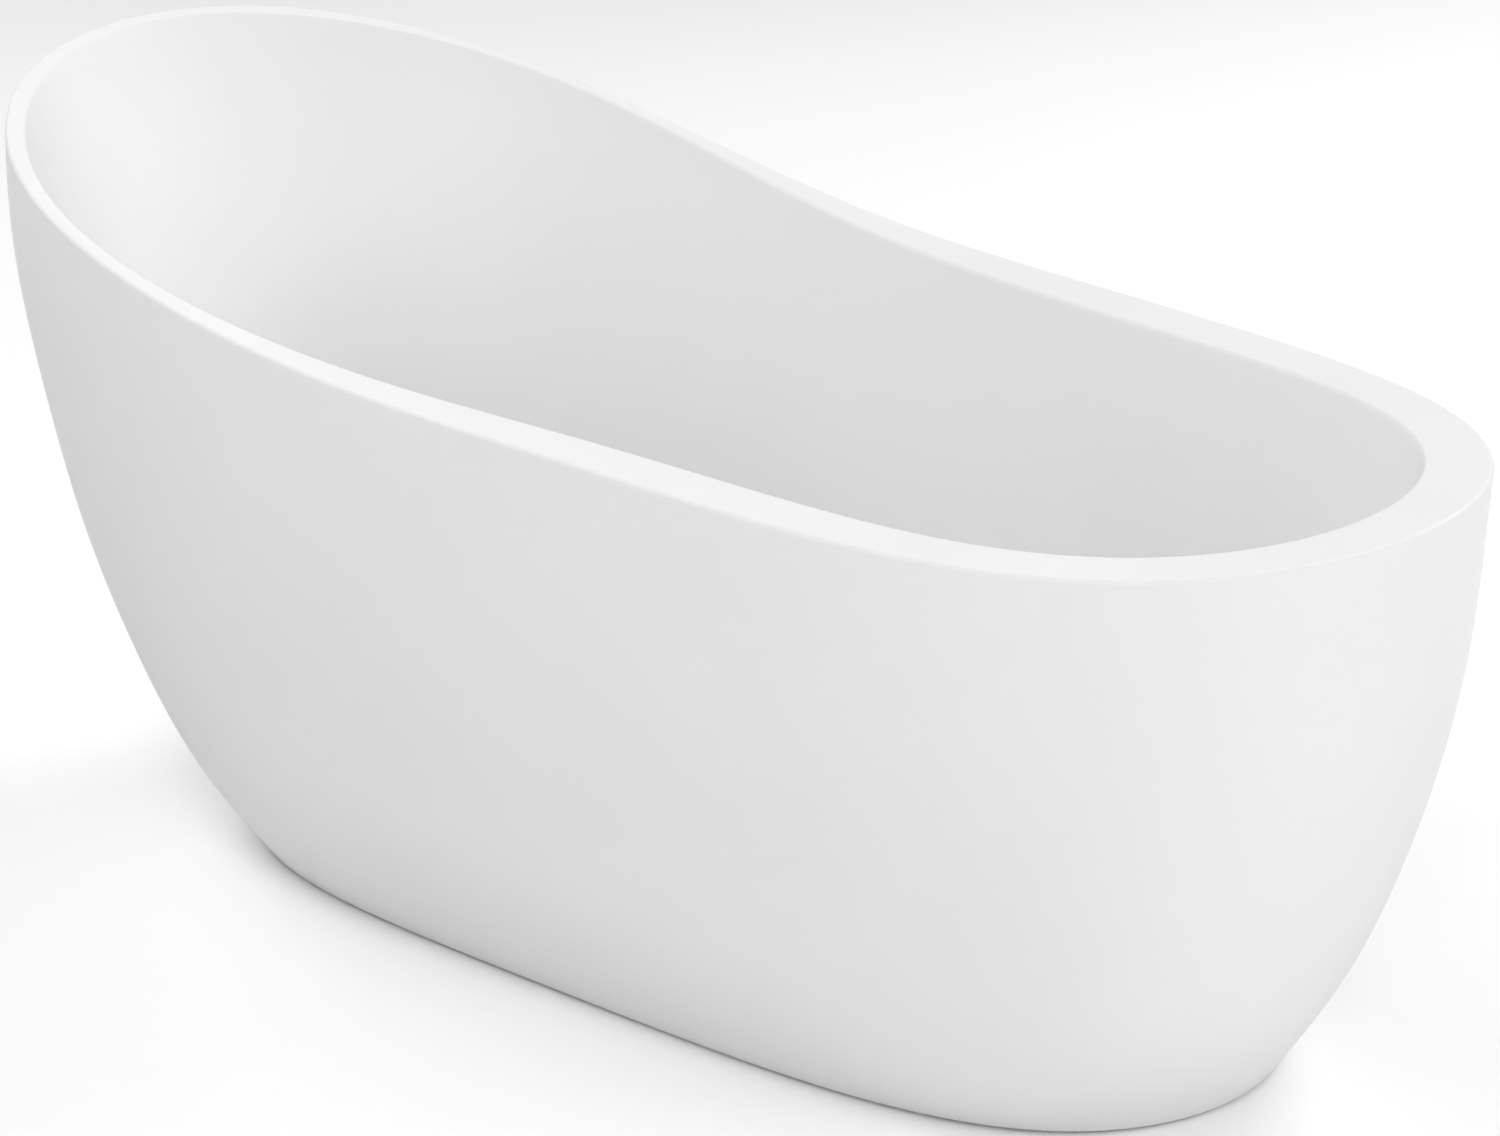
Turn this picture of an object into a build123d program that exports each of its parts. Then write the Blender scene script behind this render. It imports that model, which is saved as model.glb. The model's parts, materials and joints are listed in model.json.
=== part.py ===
from build123d import *
import os
import math
import numpy as np

os.makedirs("parts", exist_ok=True)

# Freestanding single-slipper bathtub, millimetres.
# +X points to the low foot end, -X to the high head end, +Z up,
# origin on the floor under the middle of the tub's bounding box.

# ---------------------------------------------------------------- driving dimensions
LENGTH = 1700.0
X_CENTRE = 0.5                 # puts the middle of the tub's box on the origin
FLOOR_GAP = 2.5                 # clear height under the outer shell's edge
RIM_BAND = 14.0                 # thickness of the flat rim, cast with the basin
BASIN_FLOOR = 130.0             # height of the bathing floor
FLOOR_T = 14.0                  # basin floor thickness
BOWL_T = 13.0                   # basin wall thickness, measured in plan
SKIRT_T = 11.0                  # outer shell thickness, measured in plan
HEAD_T = 7.0                    # both shells thin out at the narrow head rim
FLANGE_W = 45.0                 # inward bottom flange of the outer shell
FLANGE_T = 12.0

BEARER_X = (-270.0, 300.0)      # cross bearers, head and foot
BEARER_HALF = 175.0
BEARER_SIZE = 40.0
BEARER_WALL = 3.0
FOOT_Y = (-140.0, 140.0)
STUD_R = 6.0                    # M12 levelling stud
STUD_CLEAR = 0.05
PAD_R = 25.0

DRAIN_X = 430.0
WASTE_HOLE_R = 26.0
WASTE_OUTLET_R = 19.05          # 38.1 mm (1.5 in) tail pipe
PLUG_TRAVEL = 9.0

OVERFLOW_Z = 478.0              # centre of the overflow on the foot wall
HOSE_R = 14.0                   # overflow hose outside radius
HOSE_BORE_R = 12.6
SPIGOT_R = 12.5

# ---------------------------------------------------------------- shell shape
# Head end, foot end and half-width of the outer shell against height.
XH_Z = [0, 80, 220, 400, 580, 760]
XH_V = [327.7, 263.2, 154.3, 65.5, 5.1, 0.0]
XF_Z = [0, 70, 180, 310, 440, 560]
XF_V = [180.4, 134.7, 80.3, 36.6, 10.1, 0.0]
B_Z = [0, 80, 200, 340, 480, 600]
B_V = [263.5, 309.3, 335.1, 352.4, 359.4, 363.0]
# Plan shape coefficients at the rim and at the base.
C_RIM = [-0.0858, 0.5771, 0.0761, -0.0717]
C_BASE = [-0.0898, 0.4428, -0.1, 0.0862]
# Rim height along the length.
RIM_X = [-850, -700, -520, -320, -100, 120, 340, 560, 850]
RIM_Z = [733.0, 692.3, 651.0, 615.8, 594.9, 592.4, 593.7, 596.4, 604.5]
# Inner edge of the rim.
IN_HEAD, IN_FOOT, IN_B = 16.0, 60.7, 316.2
C_IN = [-0.2822, 0.7191, 0.247, -0.1781]
# Flat part of the basin floor.
FL_HEAD, FL_FOOT, FL_B = -345.0, 515.0, 175.0
C_FL = [-0.05, 0.35, 0.0, 0.0]
FILLET_H = 105.0                # height of the floor's sweep into the walls


def ncs(xk, yk):
    """Natural cubic spline, linear outside its knots."""
    xk = np.array(xk, float)
    yk = np.array(yk, float)
    n = len(xk)
    h = np.diff(xk)
    a = np.zeros((n, n))
    r = np.zeros(n)
    a[0, 0] = a[-1, -1] = 1.0
    for i in range(1, n - 1):
        a[i, i - 1] = h[i - 1]
        a[i, i] = 2 * (h[i - 1] + h[i])
        a[i, i + 1] = h[i]
        r[i] = 6 * ((yk[i + 1] - yk[i]) / h[i] - (yk[i] - yk[i - 1]) / h[i - 1])
    m = np.linalg.solve(a, r)

    def f(x):
        x = np.asarray(x, float)
        xc = np.clip(x, xk[0], xk[-1])
        i = np.clip(np.searchsorted(xk, xc) - 1, 0, n - 2)
        d = h[i]
        p = (xk[i + 1] - xc) / d
        q = (xc - xk[i]) / d
        y = p * yk[i] + q * yk[i + 1] + ((p ** 3 - p) * m[i] + (q ** 3 - q) * m[i + 1]) * d * d / 6
        s0 = (yk[1] - yk[0]) / h[0] - h[0] * (2 * m[0] + m[1]) / 6
        s1 = (yk[-1] - yk[-2]) / h[-1] + h[-1] * (2 * m[-1] + m[-2]) / 6
        return y + np.where(x < xk[0], s0 * (x - xk[0]), 0) + np.where(x > xk[-1], s1 * (x - xk[-1]), 0)

    return f


def egg(xh, xf, b, c, th):
    ct, st = np.cos(th), np.sin(th)
    x = (xh + xf) / 2 + (xf - xh) / 2 * ct - X_CENTRE
    y = b * st * (1 + c[0] * ct + c[1] * ct ** 2 + c[2] * ct ** 3 + c[3] * ct ** 4)
    return x, y


f_head, f_foot, f_half, f_rim = ncs(XH_Z, XH_V), ncs(XF_Z, XF_V), ncs(B_Z, B_V), ncs(RIM_X, RIM_Z)


def rim_z(x):
    return f_rim(np.clip(x + X_CENTRE, -880, 880)) + FLOOR_GAP


def outer(z, th):
    """Outline of the outer face at height z."""
    z = z - FLOOR_GAP
    t = np.clip(z / 600.0, 0, 1.2)
    c = [C_BASE[i] * (1 - t) + C_RIM[i] * t for i in range(4)]
    return egg(-LENGTH / 2 + f_head(z), LENGTH / 2 - f_foot(z), f_half(z), c, th)


def inward(x, y, d):
    """Plan offset towards the inside of a closed outline."""
    dx = np.roll(x, -1) - np.roll(x, 1)
    dy = np.roll(y, -1) - np.roll(y, 1)
    n = np.hypot(dx, dy)
    return x - dy / n * d, y + dx / n * d


def head_blend(th):
    """1 at the head end, 0 from the sides to the foot end."""
    u = np.clip((-np.cos(th) - 0.1) / 0.75, 0, 1)
    return u * u * (3 - 2 * u)


def inner_edge(th):
    x, y = egg(-LENGTH / 2 + IN_HEAD, LENGTH / 2 - IN_FOOT, IN_B, C_IN, th)
    return x, y, rim_z(x)


def wall_share(th):
    """Share of the wall's inward run that is straight slope, the rest is the floor sweep."""
    return 0.50 + 0.24 * head_blend(th)


def bowl(z, th, t=0.0):
    """Basin surface at height z: inside face for t=0, underside for t=1."""
    xk, yk, zk = inner_edge(th)
    xf, yf = egg(FL_HEAD, FL_FOOT, FL_B, C_FL, th)
    zf = BASIN_FLOOR - FLOOR_T * t
    if t:
        depth = np.clip((zk - z) / 90.0, 0, 1)
        depth = depth * depth * (3 - 2 * depth)
        hb = head_blend(th)
        tr = HEAD_T * hb + BOWL_T * (1 - hb)
        xk, yk = inward(xk, yk, -t * (tr + (BOWL_T - tr) * depth))
        xf, yf = inward(xf, yf, -t * 5.0)
    m = wall_share(th)
    q = np.clip((z - zf) / FILLET_H, 0, 1)
    g = (1 - m) * np.sqrt(1 - (1 - q) ** 2) + m * (z - zf) / (zk - zf)
    return xf + (xk - xf) * g, yf + (yk - yf) * g


# ---------------------------------------------------------------- loft helpers
N_PT = 44
TH = np.arange(N_PT) * 2 * math.pi / N_PT
PARAM = [i / N_PT for i in range(N_PT + 1)]


def ring(x, y, z):
    pts = [Vector(float(a), float(b), float(z)) for a, b in zip(x, y)]
    return Wire([Edge.make_spline(pts, periodic=True, parameters=PARAM)])


def loft_rings(rings):
    return Solid.make_loft(rings, False)


def skirt_t(th):
    hb = head_blend(th)
    return HEAD_T * hb + SKIRT_T * (1 - hb)


OUT_Z = [FLOOR_GAP, 20, 50, 90, 140, 200, 270, 350, 430, 510, 590, 670, 740]
out_body = loft_rings([ring(*outer(z, TH), z) for z in OUT_Z])
in_z = [FLOOR_GAP + FLANGE_T, 30, 56, 90, 140, 200, 270, 350, 430, 510, 590, 670, 745]
skirt_in = loft_rings([ring(*inward(*outer(z, TH), skirt_t(TH)), z) for z in in_z])

FS = [0, 15, 30, 45, 60, 75, 90]
bowl_z = [BASIN_FLOOR + FILLET_H * (1 - math.cos(math.radians(a))) for a in FS] + [290, 360, 430, 500, 570, 640, 705, 770]
bowl_in = loft_rings([ring(*bowl(z, TH), z) for z in bowl_z])
under_z = [BASIN_FLOOR - FLOOR_T + FILLET_H * (1 - math.cos(math.radians(a))) for a in FS] + [280, 350, 420, 480, 540, 600, 660, 715, 770]
bowl_out = loft_rings([ring(*bowl(z, TH, 1.0), z) for z in under_z])


def below(dz):
    """Everything under the rim surface lowered by dz."""
    xs = np.linspace(-900, 900, 37)
    top = [(float(x), 0.0, float(rim_z(x) - dz)) for x in xs]
    e = Edge.make_spline([Vector(*p) for p in top])
    w = Wire([e, Edge.make_line(top[-1], (900, 0, -60)), Edge.make_line((900, 0, -60), (-900, 0, -60)),
              Edge.make_line((-900, 0, -60), top[0])])
    f = Face(w)
    s = extrude(f, 520, dir=(0, 1, 0), both=True)
    return s


under_rim = below(0.0)
under_band = below(RIM_BAND)


def cyl(r, z0, z1, x=0.0, y=0.0):
    return Pos(x, y, (z0 + z1) / 2) * Cylinder(r, z1 - z0)


def tube(r, bore, z0, z1, x=0.0, y=0.0):
    return cyl(r, z0, z1, x, y) - cyl(bore, z0 - 1, z1 + 1, x, y)


def hexagon(af, z0, z1, x=0.0, y=0.0):
    return Pos(x, y, z0) * extrude(RegularPolygon(af / math.sqrt(3), 6), z1 - z0)


# ---------------------------------------------------------------- overflow frame
# Local frame on the foot wall: local +Z is the wall normal, pointing into the basin.
_za, _zb = OVERFLOW_Z - 20, OVERFLOW_Z + 20
_xa = float(bowl(_za, TH)[0][0])
_xb = float(bowl(_zb, TH)[0][0])
OV_X = float(bowl(OVERFLOW_Z, TH)[0][0])
_len = math.hypot(_xb - _xa, _zb - _za)
OV_N = ((_za - _zb) / _len, 0.0, (_xb - _xa) / _len)
ov = Plane(origin=(OV_X, 0, OVERFLOW_Z), x_dir=(0, 1, 0), z_dir=OV_N)
SEAT_IN = -0.6                  # plane of the trim's seat
SEAT_OUT = -11.6                # plane of the housing's seat


def ov_cyl(r, a, b):
    return ov * cyl(r, a, b)


def ov_tube(r, bore, a, b):
    return ov * tube(r, bore, a, b)


# ---------------------------------------------------------------- basin
band = (out_body & under_rim) - under_band
basin = band + (bowl_out & under_rim)
basin = basin - bowl_in
basin = basin - Pos(0, 0, BASIN_FLOOR - FLOOR_T - 20) * Box(1500, 700, 40)
basin = basin - cyl(WASTE_HOLE_R, 90, 150, DRAIN_X) - cyl(37.0, BASIN_FLOOR - 4, BASIN_FLOOR + 20, DRAIN_X)
basin = basin - ov_cyl(22.0, -40, 20) - ov_cyl(33.5, SEAT_IN, 14) - ov_cyl(31.0, -30, SEAT_OUT)

# ---------------------------------------------------------------- outer shell
skirt = (out_body & under_band) - skirt_in
_x, _y = outer(FLOOR_GAP, TH)
skirt = skirt - extrude(Face(ring(*inward(_x, _y, FLANGE_W), FLOOR_GAP - 4)), 40, dir=(0, 0, 1))

# ---------------------------------------------------------------- bearers and feet
UNDER = BASIN_FLOOR - FLOOR_T
BB = UNDER - BEARER_SIZE
bearers = []
for bx in BEARER_X:
    b = Pos(bx, 0, UNDER - BEARER_SIZE / 2) * Box(BEARER_SIZE, 2 * BEARER_HALF, BEARER_SIZE)
    inner = BEARER_SIZE - 2 * BEARER_WALL
    b = fillet(b.edges().filter_by(Axis.Y), 5.0)
    v = Pos(bx, 0, UNDER - BEARER_SIZE / 2) * Box(inner, 2 * BEARER_HALF + 4, inner)
    v = fillet(v.edges().filter_by(Axis.Y), 2.0)
    b = b - v
    for fy in FOOT_Y:
        b = b - cyl(9.0, BB - 2, BB + BEARER_WALL + 2, bx, fy)
    bearers.append(b)

FEET = [(BEARER_X[0], FOOT_Y[0]), (BEARER_X[0], FOOT_Y[1]), (BEARER_X[1], FOOT_Y[0]), (BEARER_X[1], FOOT_Y[1])]
bore = STUD_R + STUD_CLEAR
bushes, lock_nuts, studs, pads = [], [], [], []
for fx, fy in FEET:
    bush = cyl(9.0, BB - 10, BB + 9, fx, fy) + cyl(13.0, BB - 4, BB, fx, fy) - cyl(bore, BB - 20, BB + 20, fx, fy)
    bushes.append(bush)
    nut = hexagon(19.0, BB - 19, BB - 10, fx, fy) & Pos(fx, fy, BB - 14.5) * Cone(11.9, 9.6, 9.0)
    nut = hexagon(19.0, BB - 19, BB - 10, fx, fy) - cyl(bore, BB - 30, BB, fx, fy)
    lock_nuts.append(nut)
    stud = cyl(STUD_R, 6.1, BB + 31, fx, fy) + hexagon(17.0, 24, 30, fx, fy)
    stud = chamfer(stud.edges().group_by(Axis.Z)[-1], 1.0)
    studs.append(stud)
    prof = Polyline((0, 0), (PAD_R - 1.5, 0), (PAD_R, 1.5), (PAD_R, 6.5), (PAD_R - 2, 9), (13.0, 12), (11.0, 14), (11.0, 20), (0, 20), close=True)
    pad = revolve(make_face(Plane.XZ * prof), Axis.Z)
    pads.append(Pos(fx, fy, 0) * pad - cyl(bore, 6.0, 22, fx, fy))

# ---------------------------------------------------------------- waste
F = BASIN_FLOOR
waste_seal_upper = tube(35.5, 26.2, F - 4, F - 2.5, DRAIN_X)
flange_prof = Polyline((24.0, F - 2.5), (36.0, F - 2.5), (36.0, F - 1.0), (35.0, F), (26.0, F - 0.6), (21.0, F - 3.5), (21.0, F - 44), (24.0, F - 44), close=True)
waste_flange = Pos(DRAIN_X, 0, 0) * revolve(make_face(Plane.XZ * flange_prof), Axis.Z)
HUB_Z = F - 42
spider = Pos(DRAIN_X, 0, HUB_Z + 3) * Box(46, 4, 6) + Pos(DRAIN_X, 0, HUB_Z + 3) * Box(4, 46, 6) + cyl(9.0, HUB_Z, HUB_Z + 6, DRAIN_X)
spider = (spider & cyl(22.0, HUB_Z - 1, HUB_Z + 7, DRAIN_X)) - cyl(4.0, HUB_Z - 2, HUB_Z + 8, DRAIN_X)
waste_flange = waste_flange + spider
waste_seal_lower = tube(37.0, 24.3, UNDER - 3, UNDER, DRAIN_X)
waste_locknut = tube(34.0, 24.1, UNDER - 12, UNDER - 3, DRAIN_X)
for k in range(6):
    a = math.radians(60 * k)
    waste_locknut = waste_locknut + Pos(DRAIN_X + 35.5 * math.cos(a), 35.5 * math.sin(a), UNDER - 7.5) * Rot(0, 0, 60 * k) * Box(7, 9, 9)

# waste tee: socket on the flange's barrel, chamber, overflow inlet, tail pipe
TEE_Z = 74.0
body = cyl(29.0, 56, 102, DRAIN_X)
body = fillet(body.edges().group_by(Axis.Z)[0], 5.0)
body = body + cyl(WASTE_OUTLET_R, 14, 57, DRAIN_X)
body = body + Pos(DRAIN_X + 32, 0, TEE_Z) * Rot(0, 90, 0) * Cylinder(SPIGOT_R, 56)
body = body - cyl(24.1, 85.5, 104, DRAIN_X) - cyl(21.0, 61, 87, DRAIN_X) - cyl(16.5, 10, 62, DRAIN_X)
body = body - Pos(DRAIN_X + 40, 0, TEE_Z) * Rot(0, 90, 0) * Cylinder(9.5, 60)
waste_body = body

# plug: barrel on the spider, sliding stem, spring, cap and seal
cartridge = cyl(9.0, HUB_Z + 6, F - 8, DRAIN_X) + cyl(3.98, HUB_Z - 4, HUB_Z + 7, DRAIN_X)
cartridge = cartridge - cyl(6.05, HUB_Z + 9, F, DRAIN_X)
plug_cartridge = cartridge
CAP_Z = F + 2.1 + PLUG_TRAVEL            # underside of the cap at rest, plug open
STEM_Z = F - 20.0
plug_stem = cyl(6.0, STEM_Z, CAP_Z - 4, DRAIN_X) + cyl(3.97, CAP_Z - 5, CAP_Z + 2, DRAIN_X)
cap_prof = Polyline((0, CAP_Z - 4), (9.0, CAP_Z - 4), (9.0, CAP_Z), (31.0, CAP_Z), (31.0, CAP_Z + 2.4), (30.0, CAP_Z + 3.4), (20, CAP_Z + 4.4), (0, CAP_Z + 5.0), close=True)
plug_cap = Pos(DRAIN_X, 0, 0) * revolve(make_face(Plane.XZ * cap_prof), Axis.Z) - cyl(4.0, CAP_Z - 6, CAP_Z + 2.2, DRAIN_X)
plug_seal = tube(28.5, 21.5, CAP_Z - 2, CAP_Z, DRAIN_X)
SPR0, SPR1 = HUB_Z + 9.1, STEM_Z - 0.1
WIRE = 0.4
turns = 3
coil_path = Helix((SPR1 - SPR0 - 2 * WIRE) / turns, SPR1 - SPR0 - 2 * WIRE, 4.9, center=(DRAIN_X, 0, SPR0 + WIRE))
click_spring = sweep(Plane(coil_path @ 0, z_dir=coil_path % 0) * Circle(WIRE), coil_path, is_frenet=True)

# ---------------------------------------------------------------- overflow
overflow_seal = ov_tube(31.0, 22.5, SEAT_IN, SEAT_IN + 1.5)
T0 = SEAT_IN + 1.5
trim = cyl(32.5, T0, T0 + 3.0)
trim = fillet(trim.edges().group_by(Axis.Z)[-1], 1.2)
for k in range(8):
    trim = trim - Rot(0, 0, 45 * k) * Pos(14.5, 0, T0 + 1.5) * Box(11, 4.2, 6)
trim = trim - cyl(3.2, T0 - 1, T0 + 4)
overflow_trim = ov * trim
overflow_box_seal = ov_tube(29.0, 22.5, SEAT_OUT - 1.5, SEAT_OUT)
B0 = SEAT_OUT - 1.5
box = cyl(30.0, B0 - 3, B0) + cyl(24.0, B0 - 23, B0)
box = box - cyl(21.5, B0 - 20.5, B0 + 1) + cyl(6.0, B0 - 22, B0 - 8)
box = box - cyl(2.95, B0 - 20, B0)
overflow_box = ov * box
OVB = ov.from_local_coords((0, 0, B0 - 12))
SP_X = OVB.X
HOSE_TOP = OVERFLOW_Z - 34
spig = cyl(SPIGOT_R, HOSE_TOP - 24, OVERFLOW_Z - 18, SP_X) - ov * cyl(21.5, B0 - 20.5, B0 + 1)
overflow_box = overflow_box + spig - cyl(9.5, HOSE_TOP - 30, OVERFLOW_Z - 20, SP_X)
overflow_box = overflow_box + ov * (cyl(6.0, B0 - 22, B0 - 8) - cyl(2.95, B0 - 20, B0))
overflow_screw = ov * (cyl(2.9, B0 - 18, T0 + 3.2) + cyl(6.0, T0 + 3.0, T0 + 5.4))

# overflow hose, from the housing's spigot to the tee's inlet
HOSE_X1 = DRAIN_X + 36
hose_pts = [(SP_X, 0, HOSE_TOP), (SP_X, 0, 368), (715, 0, 172), (640, 0, TEE_Z), (HOSE_X1, 0, TEE_Z)]


def arc_radii(pts):
    rr = []
    for a, b, c in zip(pts, pts[1:], pts[2:]):
        u = Vector(*b) - Vector(*a)
        v = Vector(*c) - Vector(*b)
        turn = math.radians(u.get_angle(v))
        rr.append(0.45 * min(u.length, v.length) / math.tan(turn / 2))
    return rr


hose_r = arc_radii(hose_pts)
print("hose arc radii", [round(r, 1) for r in hose_r])
hose_line = FilletPolyline(*hose_pts, radius=hose_r)
start = Plane(origin=hose_pts[0], z_dir=(0, 0, -1))
overflow_hose = sweep(start * (Circle(HOSE_R) - Circle(HOSE_BORE_R)), hose_line)
print("hose length", round(hose_line.length, 1), "volume", round(overflow_hose.volume, 1),
      "expected", round(math.pi * (HOSE_R ** 2 - HOSE_BORE_R ** 2) * hose_line.length, 1))


def clamp(plane):
    c = tube(HOSE_R + 1.2, HOSE_R, 6, 15)
    c = c + Pos(HOSE_R + 4.2, 0, 10.5) * Box(7, 12, 9) + Pos(HOSE_R + 4.2, 9, 10.5) * Rot(90, 0, 0) * Cylinder(3.2, 8)
    c = c - cyl(HOSE_R, 0, 30)
    return plane * c


hose_clamps = [
    clamp(Plane(origin=(SP_X, 0, HOSE_TOP), x_dir=(0, 1, 0), z_dir=(0, 0, -1))),
    clamp(Plane(origin=(HOSE_X1, 0, TEE_Z), x_dir=(0, 1, 0), z_dir=(1, 0, 0))),
]

# ---------------------------------------------------------------- export
nodes = {
    "basin": basin,
    "outer_skirt": skirt,
    "bearer_head": bearers[0],
    "bearer_foot": bearers[1],
    "foot_bushes": bushes,
    "foot_lock_nuts": lock_nuts,
    "waste_flange": waste_flange,
    "waste_seal_upper": waste_seal_upper,
    "waste_seal_lower": waste_seal_lower,
    "waste_locknut": waste_locknut,
    "waste_body": waste_body,
    "plug_cartridge": plug_cartridge,
    "plug_stem": plug_stem,
    "plug_cap": plug_cap,
    "plug_seal": plug_seal,
    "click_spring": click_spring,
    "overflow_trim": overflow_trim,
    "overflow_seal": overflow_seal,
    "overflow_box": overflow_box,
    "overflow_box_seal": overflow_box_seal,
    "overflow_screw": overflow_screw,
    "overflow_hose": overflow_hose,
    "hose_clamps": hose_clamps,
}
for k in range(4):
    nodes["foot_stud_%d" % (k + 1)] = studs[k]
    nodes["foot_pad_%d" % (k + 1)] = pads[k]

lo = [1e9] * 3
hi = [-1e9] * 3
for name, shape in nodes.items():
    items = shape if isinstance(shape, list) else [shape]
    solids = [s for it in items for s in it.solids()]
    comp = solids[0] if len(solids) == 1 else Compound(children=solids)
    comp.label = name
    export_step(comp, "parts/%s.step" % name)
    for s in solids:
        bb = s.bounding_box()
        for i, (a, b) in enumerate(zip((bb.min.X, bb.min.Y, bb.min.Z), (bb.max.X, bb.max.Y, bb.max.Z))):
            lo[i] = min(lo[i], a)
            hi[i] = max(hi[i], b)
print("box", [round(v, 2) for v in lo], [round(v, 2) for v in hi])
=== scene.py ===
import json
import math

import bmesh
import bpy
import numpy as np
from mathutils import Matrix, Vector
from mathutils.bvhtree import BVHTree


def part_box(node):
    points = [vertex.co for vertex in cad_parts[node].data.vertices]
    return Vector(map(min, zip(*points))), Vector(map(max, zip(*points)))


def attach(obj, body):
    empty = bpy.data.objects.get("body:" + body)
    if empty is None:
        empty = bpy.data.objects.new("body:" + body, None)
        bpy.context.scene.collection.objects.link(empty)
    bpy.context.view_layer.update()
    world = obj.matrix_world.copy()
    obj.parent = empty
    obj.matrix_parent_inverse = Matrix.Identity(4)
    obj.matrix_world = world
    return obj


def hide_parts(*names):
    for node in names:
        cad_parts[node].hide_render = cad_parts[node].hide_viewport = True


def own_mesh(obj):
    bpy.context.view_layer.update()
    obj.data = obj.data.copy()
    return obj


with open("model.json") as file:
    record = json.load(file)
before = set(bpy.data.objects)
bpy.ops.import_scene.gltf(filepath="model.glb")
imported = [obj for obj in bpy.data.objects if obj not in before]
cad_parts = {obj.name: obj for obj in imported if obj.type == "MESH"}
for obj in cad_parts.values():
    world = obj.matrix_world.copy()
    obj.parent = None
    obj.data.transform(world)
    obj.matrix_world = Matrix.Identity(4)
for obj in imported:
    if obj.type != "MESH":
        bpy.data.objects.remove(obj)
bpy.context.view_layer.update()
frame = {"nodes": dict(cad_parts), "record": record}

MM = 0.001

# ------------------------------------------------------------------ shape of the tub, millimetres
LENGTH = 1700.0
X_CENTRE = 0.5
FLOOR_GAP = 2.5
RIM_BAND = 14.0
BASIN_FLOOR = 130.0
FLOOR_T = 14.0
BOWL_T = 13.0
SKIRT_T = 11.0
HEAD_T = 7.0
FLANGE_W = 45.0
FLANGE_T = 12.0
FILLET_H = 105.0
DRAIN_X = 430.0
OVERFLOW_Z = 478.0
XH_Z = [0, 80, 220, 400, 580, 760]
XH_V = [327.7, 263.2, 154.3, 65.5, 5.1, 0.0]
XF_Z = [0, 70, 180, 310, 440, 560]
XF_V = [180.4, 134.7, 80.3, 36.6, 10.1, 0.0]
B_Z = [0, 80, 200, 340, 480, 600]
B_V = [263.5, 309.3, 335.1, 352.4, 359.4, 363.0]
C_RIM = [-0.0858, 0.5771, 0.0761, -0.0717]
C_BASE = [-0.0898, 0.4428, -0.1, 0.0862]
RIM_X = [-850, -700, -520, -320, -100, 120, 340, 560, 850]
RIM_Z = [733.0, 692.3, 651.0, 615.8, 594.9, 592.4, 593.7, 596.4, 604.5]
IN_HEAD, IN_FOOT, IN_B = 16.0, 60.7, 316.2
C_IN = [-0.2822, 0.7191, 0.247, -0.1781]
FL_HEAD, FL_FOOT, FL_B = -345.0, 515.0, 175.0
C_FL = [-0.05, 0.35, 0.0, 0.0]


def ncs(xk, yk):
    xk = np.array(xk, float)
    yk = np.array(yk, float)
    n = len(xk)
    h = np.diff(xk)
    a = np.zeros((n, n))
    r = np.zeros(n)
    a[0, 0] = a[-1, -1] = 1.0
    for i in range(1, n - 1):
        a[i, i - 1] = h[i - 1]
        a[i, i] = 2 * (h[i - 1] + h[i])
        a[i, i + 1] = h[i]
        r[i] = 6 * ((yk[i + 1] - yk[i]) / h[i] - (yk[i] - yk[i - 1]) / h[i - 1])
    m = np.linalg.solve(a, r)

    def f(x):
        x = np.asarray(x, float)
        xc = np.clip(x, xk[0], xk[-1])
        i = np.clip(np.searchsorted(xk, xc) - 1, 0, n - 2)
        d = h[i]
        p = (xk[i + 1] - xc) / d
        q = (xc - xk[i]) / d
        y = p * yk[i] + q * yk[i + 1] + ((p ** 3 - p) * m[i] + (q ** 3 - q) * m[i + 1]) * d * d / 6
        s0 = (yk[1] - yk[0]) / h[0] - h[0] * (2 * m[0] + m[1]) / 6
        s1 = (yk[-1] - yk[-2]) / h[-1] + h[-1] * (2 * m[-1] + m[-2]) / 6
        return y + np.where(x < xk[0], s0 * (x - xk[0]), 0) + np.where(x > xk[-1], s1 * (x - xk[-1]), 0)

    return f


def egg(xh, xf, b, c, th):
    ct, st = np.cos(th), np.sin(th)
    x = (xh + xf) / 2 + (xf - xh) / 2 * ct - X_CENTRE
    y = b * st * (1 + c[0] * ct + c[1] * ct ** 2 + c[2] * ct ** 3 + c[3] * ct ** 4)
    return x, y


f_head, f_foot, f_half, f_rim = ncs(XH_Z, XH_V), ncs(XF_Z, XF_V), ncs(B_Z, B_V), ncs(RIM_X, RIM_Z)


def rim_z(x):
    return f_rim(np.clip(x + X_CENTRE, -880, 880)) + FLOOR_GAP


def outer(z, th):
    z = z - FLOOR_GAP
    t = np.clip(z / 600.0, 0, 1.2)
    c = [C_BASE[i] * (1 - t) + C_RIM[i] * t for i in range(4)]
    return egg(-LENGTH / 2 + f_head(z), LENGTH / 2 - f_foot(z), f_half(z), c, th)


def normals2(x, y):
    """Unit plan normals pointing to the inside of a closed outline."""
    dx = np.roll(x, -1) - np.roll(x, 1)
    dy = np.roll(y, -1) - np.roll(y, 1)
    n = np.hypot(dx, dy)
    return -dy / n, dx / n


def inward(x, y, d):
    nx, ny = normals2(x, y)
    return x + nx * d, y + ny * d


def head_blend(th):
    u = np.clip((-np.cos(th) - 0.1) / 0.75, 0, 1)
    return u * u * (3 - 2 * u)


def inner_edge(th):
    x, y = egg(-LENGTH / 2 + IN_HEAD, LENGTH / 2 - IN_FOOT, IN_B, C_IN, th)
    return x, y, rim_z(x)


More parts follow.
